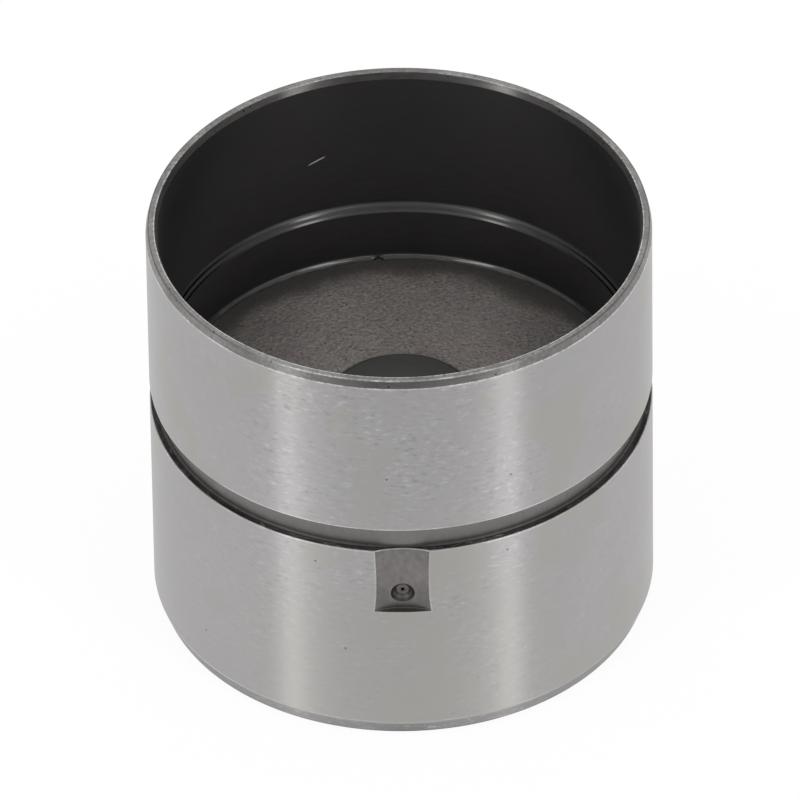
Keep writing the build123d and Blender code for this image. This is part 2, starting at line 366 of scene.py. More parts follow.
def column_angles(height):
    """Angle of every column at a height: proportional to the pocket's half width inside the
    pocket, then eased out to fixed columns round the rest of the circle."""
    half = pocket_edge(np.asarray(height, float))[:, None]
    beyond = np.clip(np.abs(stations) - 1, 0, None)[None, :]
    near = np.clip(stations, -1, 1)[None, :] * half
    near = near + np.sign(stations)[None, :] * beyond * (column_blend - half)
    return np.hstack([near, np.broadcast_to(rest_of_circle, (len(half), columns_round + 1))])


def plain_rows(radius, heights, finish):
    """Profile rows up or down a straight wall, with no wear."""
    return np.stack([np.broadcast_to(v, len(heights)) for v in (radius, heights, 0, finish)], -1)


def on_step(share):
    """Radius and height at a share of the way down the slope from the skirt to the neck."""
    return skirt_bore + share * (neck_bore - skirt_bore), step_top + share * (neck_top - step_top)


# Rows, from the middle of the cam face up the outside and down the inside. Those at 6 and 12
# mm across the face and at 6 and 25 mm up the wall only part long runs.
block_rows = np.linspace(hole_height - hole_block, hole_height + hole_block, block_cells + 1)
foot_turn = np.linspace(pi / 2, 0, 7)
foot_rows = pocket_foot + pocket_foot_round * (1 - np.sin(foot_turn))
foot_rows = np.append(foot_rows, foot_rows[-1] + 0.04)
# The foot's chamfer is darker, and the bright line at its top is a worn edge, partly painted
# highlight
outside_low = turned_profile(
    (0, bucket_foot),
    (6, bucket_foot),
    (12, bucket_foot),
    (bucket_radius - foot_chamfer[0], bucket_foot, 0.12, -1.0, -0.36),
    (bucket_radius, foot_chamfer[1], 0.15, 0.9),
    (bucket_radius, 6.0),
    (bucket_radius, pocket_foot - 0.12),
)
below_pocket = plain_rows(bucket_radius, np.array([pocket_foot - 0.04]), ground)
pocket_top_rows = np.linspace(block_rows[-1] + 0.2, groove_low - 0.12, 12)
pocket_heights = np.concatenate([foot_rows, block_rows, pocket_top_rows])
pocket_wall = plain_rows(bucket_radius, pocket_heights, ground)
groove_middle = (groove_low + groove_high) / 2
# The groove's lower edge is worn bright, partly painted highlight, painted shade darkens its root,
# and its lower flank is darkened too
groove_lower_half = turned_profile(
    (bucket_radius, groove_low - 0.1, 0, 0, 0.6),
    (bucket_radius, groove_low, edge_break, 0.7, -0.92),
    (groove_bottom, groove_low, groove_root, -0.85, -0.1, milled),
    (groove_bottom, groove_low + 0.45, 0, 0.06),
    (groove_bottom, groove_middle, 0, 0.06),
)
# The groove's upper edge and the mouth's edges are worn bright, partly painted highlight; the
# groove's upper root is darkened
outside_high = turned_profile(
    (groove_bottom, groove_middle, 0, 0, 0.06, milled),
    (groove_bottom, groove_high, groove_root, -0.3, -0.15),
    (bucket_radius, groove_high, edge_break, 1.4, 1.0, ground),
    (bucket_radius, groove_high + bright_strip),
    (bucket_radius, 25.0),
    (bucket_radius, bucket_height - mouth_chamfer[1] - bright_strip, 0, 0, 0.7),
    (bucket_radius, bucket_height - mouth_chamfer[1], 0.07, 1.0, 0.1, turned),
    (bucket_radius - mouth_chamfer[0], bucket_height, 0.06, 0.9, 0.2),
    (skirt_bore + lead_in[0], bucket_height, 0.05, 1.3),
    (skirt_bore, bucket_height - lead_in[1], 0.06, 0, 0, black),
    (skirt_bore, 26.0, 0, -0.23, -0.6),
    (skirt_bore, step_top, step_round, -0.6, -0.75),
    (*on_step(0.32), 0, -0.5, 0, rolled),
    (*on_step(0.48), 0, -0.5),
    (*on_step(0.52), 0, -0.84, 0, black),
    (*on_step(0.76), 0, -0.84),
    (*on_step(0.8), 0, -0.45, -0.45, rolled),
    (neck_bore, neck_top, 0.05, -0.3, -0.56, black),
    (neck_bore, 17.9, 0, -0.56, -0.45),
    (neck_bore, lip_high, 0.2, -0.35, -0.5),
    (*lip_start, 0, -0.55, -0.55, rolled),
    (*lip_hollow, 0.05, -0.55, -0.55),
    (*lip_ridge, 0.03, -0.6, -0.75, black),
    (lip_nose, lip_low, 0.02, -0.6, -0.5),
    (neck_bore, lip_low - 0.01),
    (neck_bore, web_seat),
    (reservoir_bore, web_seat, 0.05),
    (reservoir_bore, block_rows[-1] + 0.1),
)[1:]
reservoir_wall = plain_rows(reservoir_bore, block_rows[::-1], black)
inside_low = turned_profile(
    (reservoir_bore, block_rows[0] - 0.1, 0, 0, 0, black),
    (reservoir_bore, crown_top, crown_corner),
    (reservoir_bore - 1.2, crown_top),
)
slot_rows = plain_rows(0, np.array([crown_top] * 4 + [crown_top - slot_depth] * 2), black)
parts = [outside_low, below_pocket, pocket_wall, groove_lower_half, outside_high]
parts += [reservoir_wall, inside_low, slot_rows]
ends = np.cumsum([len(part) for part in parts])
foot_end, pocket_start, flank_start, high_start, block_start, _, slot_start, rows = ends
profile = np.vstack(parts)
angles = column_angles(profile[:, 1])
folded = (angles + pi) % (2 * pi) - pi
radius, height, wear_and_light, row_finish = (
    np.broadcast_to(profile[:, k : k + 1], angles.shape).copy() for k in range(4)
)
columns = angles.shape[1]

# Pocket: rows between its foot and the groove sink to the cutter's circle, and the rows of
# the groove's lower flank are squeezed into what depth the cutter leaves
pocket_span = slice(pocket_start, flank_start)
in_pocket, radius[pocket_span] = cut_by_pocket(folded[pocket_span], height[pocket_span])
flank_span = slice(flank_start, high_start)
in_pocket_flank, cut_wall = cut_by_pocket(folded[flank_span], groove_low)
share = (cut_wall - groove_bottom) / (bucket_radius - groove_bottom)
radius[flank_span] = groove_bottom + (radius[flank_span] - groove_bottom) * share

# Round the pocket: its sides and foot are worn bright outside, partly painted highlight.
# Painted shade darkens its corner and the flare above it, and painted light lightens its
# wall just above the ledge
first_inside = len(station_beyond)
last_inside = first_inside + columns_pocket
wear_and_light[pocket_span, [first_inside - 1, last_inside + 1]] = 0.6
wear_and_light[foot_end, first_inside - 1 : last_inside + 2] = 0.7
above_foot = height[pocket_span] - pocket_foot
pocket_shade_and_light = -0.15 * np.clip(1 - above_foot / pocket_foot_round, 0, 1)
pocket_shade_and_light -= 0.17 * np.clip((2.4 * flare_height - above_foot) / flare_height, 0, 1)
above_ledge = above_foot > pocket_foot_round - 0.001
pocket_shade_and_light += 0.26 * above_ledge * np.exp(-((above_foot / 0.2) ** 2))
wear_and_light[pocket_span] = np.where(in_pocket, pocket_shade_and_light, wear_and_light[pocket_span])
flank_wear_and_light = wear_and_light[flank_span]
wear_and_light[flank_span] = np.where(in_pocket_flank & (flank_wear_and_light > 0), 0.28 * flank_wear_and_light, flank_wear_and_light)


def ease(values, start, end):
    """Goes smoothly from 0 to 1 as values go from start to end: 3 t^2 - 2 t^3."""
    part = np.clip((values - start) / (end - start), 0, 1)
    return part * part * (3 - 2 * part)


# Round the turned part: painted shade darkens the mouth's chamfer on the pocket's side, where
# its upper edge is nicked, and the edge of the bore is worn bright there. Painted light
# lightens the groove to the sides, painted shade darkens the foot's chamfer in front, and
# painted light makes the black bores paler away from the back.
to_side, from_back = np.abs(folded), np.abs(angles - pi)
in_front = np.exp(-((to_side / front_azimuth) ** 2))
mouth_up = height - bucket_height + mouth_chamfer[1]
outer_half = radius > (bucket_radius + skirt_bore) / 2
on_chamfer = outer_half & (mouth_up > 0.05) & (mouth_up < mouth_chamfer[1] - 0.06)
on_top = mouth_up > mouth_chamfer[1] - 0.06
on_outer_edge = on_top & (radius > bucket_radius - mouth_chamfer[0] - 0.06)
on_bore_edge = on_top & (radius < skirt_bore + lead_in[0] + 0.04) & (radius > skirt_bore)
wear_and_light = np.where(on_chamfer, 0.12 - 0.27 * in_front**5, wear_and_light)
wear_and_light = np.where(on_outer_edge, 0.85 * in_front - 0.1, wear_and_light)
wear_and_light = np.where(on_bore_edge, 0.3 + 0.9 * ease(to_side, 2.4, 1.0), wear_and_light)
on_groove = (row_finish == milled) & (height > groove_low)
wear_and_light = np.where(on_groove, wear_and_light + 0.15 * ease(to_side, radians(10), radians(60)), wear_and_light)
on_foot = (height < foot_chamfer[1]) & (radius > bucket_radius - foot_chamfer[0] - 0.01)
wear_and_light = np.where(on_foot, wear_and_light - 0.15 * np.exp(-((to_side / radians(7)) ** 2)), wear_and_light)
painted_side_light = ease(from_back, radians(28), radians(72))
wear_and_light = np.where(row_finish == black, wear_and_light * (1 - 0.6 * painted_side_light) + 0.05 * painted_side_light, wear_and_light)

# Painted highlight: the step and the lip shed their dirt over a stretch on either side of the
# back, where the strip lights glint in them
painted_glint = np.exp(-(((from_back - glint_azimuth) / glint_reach) ** 2))
wear_and_light = np.where(row_finish == rolled, wear_and_light * (1 - painted_glint), wear_and_light)

# Lip: its nose is a little uneven all round, and it is missing for half a millimetre
lip_rows = slice(high_start, block_start)
on_lip = (profile[lip_rows, 0] < neck_bore - 0.01) & (profile[lip_rows, 1] > lip_low - 0.2)
on_lip &= profile[lip_rows, 0] > reservoir_bore + 0.01
uneven = np.sin(23 * angles) + np.sin(37 * angles + 1.0) + np.sin(71 * angles + 2.5)
gap = np.abs(angles - lip_gap) < lip_gap_width / 2 / neck_bore
depth_in = neck_bore - radius
nose = neck_bore - depth_in * np.where(gap, 0.4, 1 - 0.03 * uneven)
radius[lip_rows] = np.where(on_lip[:, None], nose[lip_rows], radius[lip_rows])
grid = np.stack([radius * np.sin(angles), -radius * np.cos(angles), height], -1)


def capsule_outline(angles, half_width, half_run):
    """Point of a slot's outline in each direction from its middle: on a straight side at
    half_width / |sin a|, or where the ray meets the round end, h|cos a| + sqrt(w^2 - h^2
    sin^2 a)."""
    across, along = np.abs(np.sin(angles)), np.abs(np.cos(angles))
    side = half_width / np.maximum(across, 1e-6)
    under_root = np.maximum(half_width**2 - (half_run * across) ** 2, 0)
    end = half_run * along + np.sqrt(under_root)
    return np.where(side * along < half_run, side, end)


# Overflow slot in the crown: the floor's rows run from a circle to the slot's outline
slot_angles = angles[slot_start]
slot_reach = capsule_outline(slot_angles, slot_half_width, slot_half_run)
outline = np.stack([np.sin(slot_angles) * slot_reach, -np.cos(slot_angles) * slot_reach], -1)
outline += (0, slot_middle)
floor_circle = grid[slot_start - 1, :, :2]
for row, part in enumerate((0.35, 0.7, 0.95, 1.0, 1.0), start=slot_start):
    grid[row, :, :2] = floor_circle * (1 - part) + outline * part
grid[rows - 1, :, :2] = (0, slot_middle)
cells = grid_faces(rows, columns)

# Feed hole: a block of cells in the pocket's floor and one on the reservoir's wall are left
# out, and rings of points lead from one to the other through the countersink and the hole
block_first = first_inside + (columns_pocket - block_cells) // 2
block_columns = block_first + np.arange(block_cells + 1)
outer_rows = pocket_start + len(foot_rows) + np.arange(block_cells + 1)
inner_rows = block_start + np.arange(block_cells, -1, -1)
keep = np.ones(cells.shape[:2], bool)
keep[outer_rows[0] : outer_rows[-1], block_columns[0] : block_columns[-1]] = False
keep[inner_rows[-1] : inner_rows[0], block_columns[0] : block_columns[-1]] = False


def block_border(row_list, column_list):
    """Grid indices round a block's border, starting at its lower left corner."""
    low = row_list[0] * columns + column_list
    right = row_list[1:] * columns + column_list[-1]
    high = row_list[-1] * columns + column_list[-2::-1]
    left = row_list[-2:0:-1] * columns + column_list[0]
    return np.concatenate([low, right, high, left])


def at_depth(across, depth):
    """Points at places given as (x, height), at a depth along Y."""
    return np.stack([across[:, 0], 0 * across[:, 0] + depth, across[:, 1]], -1)


def on_pocket(across):
    """Points of the pocket's floor at places given as (x, height): y = sqrt(c^2 - x^2) - d."""
    depth = np.sqrt(cutter_at(across[:, 1]) ** 2 - across[:, 0] ** 2)
    return at_depth(across, depth - pocket_axis)


def on_reservoir(across):
    """Points of the reservoir's wall at places given as (x, height): y = -sqrt(r^2 - x^2)."""
    return at_depth(across, -np.sqrt(reservoir_bore**2 - across[:, 0] ** 2))


outer_border = block_border(outer_rows, block_columns)
inner_border = block_border(inner_rows, block_columns)
flat_grid = grid.reshape(-1, 3)
border = flat_grid[outer_border]
bearing = np.arctan2(border[:, 2] - hole_height, border[:, 0])
spokes = np.stack([np.cos(bearing), np.sin(bearing)], -1)
hole_centre = np.array([0, hole_height])
countersink_rim = hole_centre + spokes * countersink_radius
orifice_rim = hole_centre + spokes * orifice_radius
outer_places = border[:, [0, 2]]
inner_places = flat_grid[inner_border][:, [0, 2]]
pocket_floor = cutter_radius - pocket_axis
# Painted shade in the countersink and the hole: how far each ring of points is darkened, in
# hundredths
cone_radii, cone_shade = (0.79, 0.72, 0.66, 0.56, 0.48, countersink_floor), (90, 90, 75, 45, 75, 80)
floor_radii, hole_floor_shade = (0.40, 0.34, 0.24, 0.17, orifice_radius), (35, 25, 40, 60, 70)
rings = [on_pocket(outer_places * (1 - part) + countersink_rim * part) for part in (0.5, 0.9, 1.0)]
for ring_radius in (*cone_radii, *floor_radii):
    sunk = countersink_radius - max(ring_radius, countersink_floor)
    rings.append(at_depth(hole_centre + spokes * ring_radius, pocket_floor + sunk))
rings.append(at_depth(orifice_rim, -reservoir_bore - 0.1))
for part in (0.0, 0.1, 0.4, 0.7):
    rings.append(on_reservoir(orifice_rim * (1 - part) + inner_places * part))
ring_shade = -np.array([0, 0, 50, *cone_shade, *hole_floor_shade, 90, 0, 0, 0, 0]) / 100
ring_index = len(flat_grid) + np.arange(len(rings) * len(border)).reshape(len(rings), -1)
ring_index = np.vstack([outer_border, ring_index, inner_border])
following = np.roll(ring_index, -1, axis=1)
hole_faces = np.stack([ring_index[:-1], following[:-1], following[1:], ring_index[1:]], -1)
bucket_points = np.vstack([flat_grid, *rings])
bucket_faces = np.vstack([cells[keep].reshape(-1, 4), hole_faces.reshape(-1, 4)])
bucket_wear_and_light = np.concatenate([wear_and_light.ravel(), np.repeat(ring_shade, len(border))])
cell_finish = row_finish[:-1].copy()
cell_finish[pocket_start - 1 : flank_start + 1, first_inside:last_inside] = milled
hole_finish = np.full(hole_faces.shape[0] * hole_faces.shape[1], milled)
face_finish = np.concatenate([cell_finish[keep], hole_finish])


def shader_group(name, inputs, outputs):
    """Starts a shader node group, which takes a place and numbers, given with their defaults,
    and returns numbers."""
    group = bpy.data.node_groups.new(name, "ShaderNodeTree")
    face = group.interface
    face.new_socket("Vector", in_out="INPUT", socket_type="NodeSocketVector")
    for label, default in inputs.items():
        socket = face.new_socket(label, in_out="INPUT", socket_type="NodeSocketFloat")
        socket.default_value = default
    for label in outputs:
        face.new_socket(label, in_out="OUTPUT", socket_type="NodeSocketFloat")
    entry = group.nodes.new("NodeGroupInput")
    leave = group.nodes.new("NodeGroupOutput")
    return group, entry.outputs, leave.inputs


def use_group(tree, group, inputs):
    """Places a shader node group and fills its inputs."""
    return add_node(tree, "Group", inputs, node_tree=group).outputs


def noise(tree, where, scale, detail=2.0, roughness=0.5):
    """Random tone from 0 to 1 that changes smoothly from place to place."""
    inputs = {"Vector": where, "Scale": scale, "Detail": detail, "Roughness": roughness}
    return add_node(tree, "TexNoise", inputs).outputs["Fac"]


def axis_distance(tree, where):
    """Distance from the tappet's axis, in a shader."""
    inputs = {0: where, 1: (1, 1, 0)}
    flat = add_node(tree, "VectorMath", inputs, operation="MULTIPLY").outputs[0]
    return add_node(tree, "VectorMath", {0: flat}, operation="LENGTH").outputs["Value"]


# Tool marks: noise drawn out along the cut, round the axis, and fine across it, and a slow
# cloud of tone that comes from oil and handling
tool_marks, entry, leave = shader_group(
    "tool_marks", {"Along": 150.0, "Across": 6000.0, "Cloud": 120.0}, ["Lines", "Cloud"]
)
xyz = add_node(tool_marks, "SeparateXYZ", {0: entry["Vector"]}).outputs
from_axis = axis_distance(tool_marks, entry["Vector"])
lay = maths(tool_marks, "MULTIPLY_ADD", from_axis, 0.7, xyz[2])
drawn = [
    times(tool_marks, xyz[0], entry["Along"]),
    times(tool_marks, xyz[1], entry["Along"]),
    times(tool_marks, lay, entry["Across"]),
]
stretched = add_node(tool_marks, "CombineXYZ", dict(enumerate(drawn))).outputs[0]
streaks = noise(tool_marks, stretched, 1.0, detail=3.0, roughness=0.6)
tool_marks.links.new(streaks, leave["Lines"])
tool_marks.links.new(noise(tool_marks, entry["Vector"], entry["Cloud"]), leave["Cloud"])

# Wear and painted light: the piece's own wear and painted highlight, as bright nicks and
# lines broken up by noise, and its dirt and painted shade, which settle along the tool marks
edge_wear_and_light, entry, leave = shader_group(
    "edge_wear_and_light", {"Wear and light": 0.0, "Scale": 3800.0, "Lines": 0.5}, ["Bright", "Dirt and shade"]
)
ragged = noise(edge_wear_and_light, entry["Vector"], entry["Scale"], detail=4.0)
patchy = noise(edge_wear_and_light, entry["Vector"], 420.0)
broken = ramp(edge_wear_and_light, ragged, 0.3, 0.7, low=0.3, high=1.5)
patches = ramp(edge_wear_and_light, patchy, 0.35, 0.65, low=0.55, high=1.45)
bright = times(edge_wear_and_light, entry["Wear and light"], times(edge_wear_and_light, broken, patches), clamp=True)
settled = ramp(edge_wear_and_light, entry["Lines"], 0.35, 0.65, low=1.05, high=0.88)
dirt_and_shade = times(edge_wear_and_light, times(edge_wear_and_light, entry["Wear and light"], -1.0), settled, clamp=True)
edge_wear_and_light.links.new(bright, leave["Bright"])
edge_wear_and_light.links.new(dirt_and_shade, leave["Dirt and shade"])

# Pits: small round spots, one in some of the cells of a Voronoi pattern
pits, entry, leave = shader_group("pits", {"Scale": 300.0, "Size": 0.1, "Share": 0.3}, ["Mask"])
spots = add_node(pits, "TexVoronoi", {"Vector": entry["Vector"], "Scale": entry["Scale"]})
lot = add_node(pits, "SeparateColor", {0: spots.outputs["Color"]}).outputs[0]
chosen = maths(pits, "LESS_THAN", lot, entry["Share"])
depth_in = maths(pits, "SUBTRACT", entry["Size"], spots.outputs["Distance"])
depth_in = maths(pits, "DIVIDE", depth_in, entry["Size"])
depth_in = times(pits, depth_in, 2.0, clamp=True)
pits.links.new(times(pits, depth_in, chosen), leave["Mask"])


def blend_colours(tree, factor, first, second):
    """Mixes two colours, each a socket or a plain colour, by a mask."""
    first, second = (
        colour if isinstance(colour, bpy.types.NodeSocket) else (*colour, 1)
        for colour in (first, second)
    )
    inputs = {"Factor": factor, 6: first, 7: second}
    return add_node(tree, "Mix", inputs, data_type="RGBA").outputs[2]


def paint(tree, shader, colour, coats):
    """Lays coats, each (mask, tone), over a colour one after another, and gives the shader
    what they come to."""
    for mask, tone in coats:
        colour = blend_colours(tree, mask, colour, tone)
    tree.links.new(colour, shader.inputs["Base Color"])


bright_tone, dirt_and_shade_tone, bright_metal = (0.75, 0.74, 0.725), (0.034, 0.033, 0.0325), 0.4


def steel(
    name, tones, roughness, marks, bump, spread=0.04, anisotropy=0, cloud=0.5, pit=None, metal=1.0
):
    """Steel finish: its tone and roughness follow its tool marks and a slow cloud, its edges
    are bright with wear and painted highlight and dark with dirt and painted shade, and the
    marks and pits are its fine relief. Tones are darkest and lightest, marks are how fine
    they are along and across the cut, bump is in millimetres, and a pit is (scale, size,
    share of the cells, tone)."""
    material = bpy.data.materials.new(name)
    material.use_nodes = True
    tree = material.node_tree
    shader = tree.nodes["Principled BSDF"]
    where = add_node(tree, "TexCoord").outputs["Object"]
    along, across = marks
    tone = use_group(tree, tool_marks, {"Vector": where, "Along": along, "Across": across})
    lines = ramp(tree, tone["Lines"], 0.3, 0.7)
    haze = ramp(tree, tone["Cloud"], 0.3, 0.7)
    shade = add_node(tree, "Mix", {"Factor": cloud, "A": lines, "B": haze}).outputs[0]
    coats, relief = [(shade, tones[1])], tone["Lines"]
    if pit is not None:
        scale, size, portion, pit_tone = pit
        sockets = {"Vector": where, "Scale": scale, "Size": size, "Share": portion}
        mask = use_group(tree, pits, sockets)["Mask"]
        coats.append((mask, pit_tone))
        relief = maths(tree, "SUBTRACT", relief, mask)
    kept_wear_and_light = add_node(tree, "Attribute", attribute_name="wear_and_light").outputs["Fac"]
    sockets = {"Vector": where, "Wear and light": kept_wear_and_light, "Lines": tone["Lines"]}
    masks = use_group(tree, edge_wear_and_light, sockets)
    coats += [(masks["Bright"], bright_tone), (masks["Dirt and shade"], dirt_and_shade_tone)]
    paint(tree, shader, tones[0], coats)
    rough = ramp(tree, tone["Lines"], 0.0, 1.0, low=roughness - spread, high=roughness + spread)
    tree.links.new(rough, shader.inputs["Roughness"])
    raised = add_node(tree, "Bump", {"Height": relief, "Distance": bump * mm})
    tree.links.new(raised.outputs[0], shader.inputs["Normal"])
    metal_left = ramp(tree, masks["Bright"], 0.0, 1.0, low=metal, high=bright_metal * metal)
    tree.links.new(metal_left, shader.inputs["Metallic"])
    shader.inputs["Anisotropic"].default_value = anisotropy
    shader.inputs["Anisotropic Rotation"].default_value = 0.25
    round_axis = add_node(tree, "Tangent", direction_type="RADIAL", axis="Z").outputs[0]
    tree.links.new(round_axis, shader.inputs["Tangent"])
    return material


def reopen(finish):
    """What more is added to a finish with: its tree, shader, Object coordinates, their x, y and
    z, and its colour."""
    tree = finish.node_tree
    shader = tree.nodes["Principled BSDF"]
    where = add_node(tree, "TexCoord").outputs["Object"]
    xyz = add_node(tree, "SeparateXYZ", {0: where}).outputs
    return tree, shader, where, xyz, shader.inputs["Base Color"].links[0].from_socket


def distance_from(tree, where, point):
    """Distance from a point given in millimetres, in a shader."""
    inputs = {0: where, 1: Vector(point) * mm}
    return add_node(tree, "VectorMath", inputs, operation="DISTANCE").outputs["Value"]


def away_from(tree, value, middle):
    """How far a value is from a middle one, on either side."""
    return maths(tree, "ABSOLUTE", maths(tree, "SUBTRACT", value, middle))


ground_finish = steel(
    "ground_steel",
    tones=((0.475, 0.463, 0.469), (0.52, 0.507, 0.513)),
    roughness=0.37,
    spread=0.015,
    marks=(500.0, 4200.0),
    bump=0.0004,
    anisotropy=1.0,
)

# Handling marks on the ground wall: short light and dark strokes, in patches and most on the
# pocket's side, and olive stains that stop at the wall's edges
light_stroke, dark_stroke = (0.68, 0.67, 0.67), (0.34, 0.33, 0.33)
wall_stain, low_stain = (0.485, 0.48, 0.452), (0.48, 0.472, 0.45)
tree, shader, where, xyz, colour = reopen(ground_finish)
sockets = {"Vector": where, "Along": 1500.0, "Across": 3700.0, "Cloud": 125.0}
strokes = use_group(tree, tool_marks, sockets)
handled = ramp(tree, xyz["Y"], -13.0 * mm, -16.5 * mm, low=0.25, smooth=True)
handled = times(tree, handled, ramp(tree, strokes["Cloud"], 0.42, 0.58, low=0.45))
light = times(tree, ramp(tree, strokes["Lines"], 0.56, 0.73), handled)
dark = times(tree, ramp(tree, strokes["Lines"], 0.44, 0.26), handled)
from_axis = axis_distance(tree, where)
on_wall = ramp(tree, from_axis, (bucket_radius - 0.1) * mm, (bucket_radius - 0.03) * mm)
olive = ramp(tree, noise(tree, where, 190.0), 0.5, 0.64, high=0.9, smooth=True)
olive = times(tree, olive, on_wall)
low_down = ramp(tree, xyz["Z"], 16.0 * mm, 9.0 * mm, high=0.6, smooth=True)
low_down = times(tree, low_down, ramp(tree, xyz["Y"], -12.0 * mm, -16.0 * mm), on_wall)
coats = [(light, light_stroke), (dark, dark_stroke), (olive, wall_stain), (low_down, low_stain)]

# A few dark pits on the wall, each (azimuth, height)
pit_size, pit_tone = 0.11, (0.12, 0.115, 0.112)
wall_pits = (-51.75, 4.2), (-20.0, 15.0), (-13.25, 7.6), (-3.25, 23.0), (24.5, 15.4), (25.5, 22.0)
for pit_azimuth, pit_height in wall_pits:
    middle = towards(pit_azimuth, 0) * bucket_radius + Vector((0, 0, pit_height))
    apart = distance_from(tree, where, middle)
    pit = ramp(tree, apart, pit_size * mm, 0.4 * pit_size * mm, high=0.85)
    coats.append((pit, pit_tone))
paint(tree, shader, colour, coats)

turned_finish = steel(
    "turned_steel",
    tones=((0.145, 0.139, 0.135), (0.275, 0.269, 0.264)),
    roughness=0.34,
    marks=(900.0, 4500.0),
    bump=0.004,
    anisotropy=0.95,
    pit=(2600.0, 0.3, 0.12, (0.07, 0.066, 0.062)),
)
milled_finish = steel(
    "milled_steel",
    tones=((0.150, 0.139, 0.135), (0.240, 0.223, 0.219)),
    roughness=0.45,
    marks=(2200.0, 1500.0),
    bump=0.006,
    anisotropy=0.3,
    cloud=0.3,
    pit=(2300.0, 0.2, 0.05, (0.12, 0.11, 0.108)),
)

# The groove and the pocket's foot are stained a little olive, but not the feed hole; the
# foot's stain is darker, partly painted shade
groove_stain, foot_stain_and_shade = (0.212, 0.204, 0.197), (0.135, 0.14, 0.128)
tree, shader, where, xyz, colour = reopen(milled_finish)
up = xyz["Z"]
olive = ramp(tree, up, (groove_low - 0.1) * mm, (groove_low + 0.3) * mm, high=0.6)
low_down = ramp(tree, up, 14.0 * mm, 11.8 * mm, high=0.4, smooth=True)
from_hole = distance_from(tree, where, (0, pocket_floor + 0.2, hole_height))
low_down = times(tree, low_down, ramp(tree, from_hole, 0.84 * mm, 0.92 * mm))
paint(tree, shader, colour, [(olive, groove_stain), (low_down, foot_stain_and_shade)])

black_finish = steel(
    "blackened_bore",
    tones=((0.166, 0.159, 0.170), (0.192, 0.193, 0.201)),
    roughness=0.42,
    spread=0.03,
    marks=(500.0, 6500.0),
    bump=0.001,
    anisotropy=0.3,
)
rolled_finish = steel(
    "burnished_bore",
    tones=((0.08, 0.079, 0.077), (0.105, 0.103, 0.1)),
    roughness=0.19,
    spread=0.05,
    marks=(300.0, 7000.0),
    bump=0.002,
    anisotropy=0.6,
)

# A thin scratch on the far side of the skirt, by its two ends
(start_x, start_z), (end_x, end_z) = (-6.42, 24.45), (-5.11, 24.93)
scratch_width, scratch_tone = 0.1, (0.7, 0.7, 0.7)
tree, shader, where, xyz, colour = reopen(black_finish)
slope = (end_z - start_z) / (end_x - start_x)
above_line = maths(tree, "MULTIPLY_ADD", xyz["X"], -slope, xyz["Z"])
off_line = away_from(tree, above_line, (start_z - slope * start_x) * mm)
scratch = ramp(tree, off_line, scratch_width * mm, 0.0, smooth=True)
half_run = (end_x - start_x) / 2 * mm
from_middle = away_from(tree, xyz["X"], (start_x + end_x) / 2 * mm)
within = ramp(tree, from_middle, half_run, half_run * 0.7)
far_side = maths(tree, "GREATER_THAN", xyz["Y"], 0.0)
scratch = times(tree, scratch, within, far_side)
paint(tree, shader, colour, [(scratch, scratch_tone)])
metal_left = shader.inputs["Metallic"].links[0].from_socket
metal_left = maths(tree, "SUBTRACT", metal_left, scratch, clamp=True)
tree.links.new(metal_left, shader.inputs["Metallic"])

bucket = make_piece(
    "bucket_shell",
    bucket_points,
    bucket_faces,
    [ground_finish, turned_finish, milled_finish, black_finish, rolled_finish],
    face_finish,
    sharp=22.0,
    wear_and_light=bucket_wear_and_light,
)
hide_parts("bucket_body")
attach(bucket, "bucket")

# Guide insert: a web pressed across the bucket with a sleeve down its middle, left as it
# came from the press, matt, brownish and pitted, and trapped under the rolled lip.
web_top, web_edge, web_radius = 15.8, 15.55, 16.19
roll_start, roll_round = 14.59, 6.0
sleeve_wall, sleeve_lead_in, sleeve_seam, running_clearance = 1.5, 0.07, 9.0, 0.02
shoulder = 0.7


def turned_size(node):
    """Radius, lowest and highest point of a turned piece, in millimetres, from its part in
    model.glb.
    """
    low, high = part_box(node)
    return high[0] / mm, low[2] / mm, high[2] / mm


def turned_piece(name, profile, angles, finish, ring=False, keep=...):
    """A piece turned from a profile, of one finish, with all its cells or those to keep."""
    faces = grid_faces(len(profile), len(angles), ring)[keep]
    wear_and_light = np.repeat(profile[:, 2], len(angles))
    return make_piece(name, turned_points(profile, angles), faces, [finish], wear_and_light=wear_and_light)


housing_radius, housing_open, housing_face = turned_size("inner_housing")
sleeve_bore = housing_radius + running_clearance
sleeve_radius = sleeve_bore + sleeve_wall
web_profile = turned_profile(
    (sleeve_bore, sleeve_seam),
    (sleeve_bore, web_top, sleeve_lead_in, -0.5),
    (9.5, web_top),
    (12.5, web_top),
    (roll_start, web_top, roll_round),
    (lip_nose, web_edge, 0.05, -0.4),
    (web_radius, web_edge),
    (web_radius, web_seat, 0.05),
    (sleeve_radius + shoulder, web_seat, 0.2),
    (sleeve_radius, web_seat - shoulder, 0.2),
    (sleeve_radius, crown_top, 0.05),
    (sleeve_bore, crown_top, 0.05),
    (sleeve_bore, sleeve_seam - 0.1),
)[::-1]
even_angles = np.linspace(0, 2 * pi, 288, endpoint=False)
web_finish = steel(
    "web_steel",
    tones=((0.155, 0.142, 0.1345), (0.485, 0.447, 0.428)),
    roughness=0.55,
    spread=0.06,
    marks=(4000.0, 1300.0),
    bump=0.14,
    cloud=0.25,
    pit=(3400.0, 0.27, 0.08, (0.19, 0.172, 0.162)),
    metal=0.5,
)

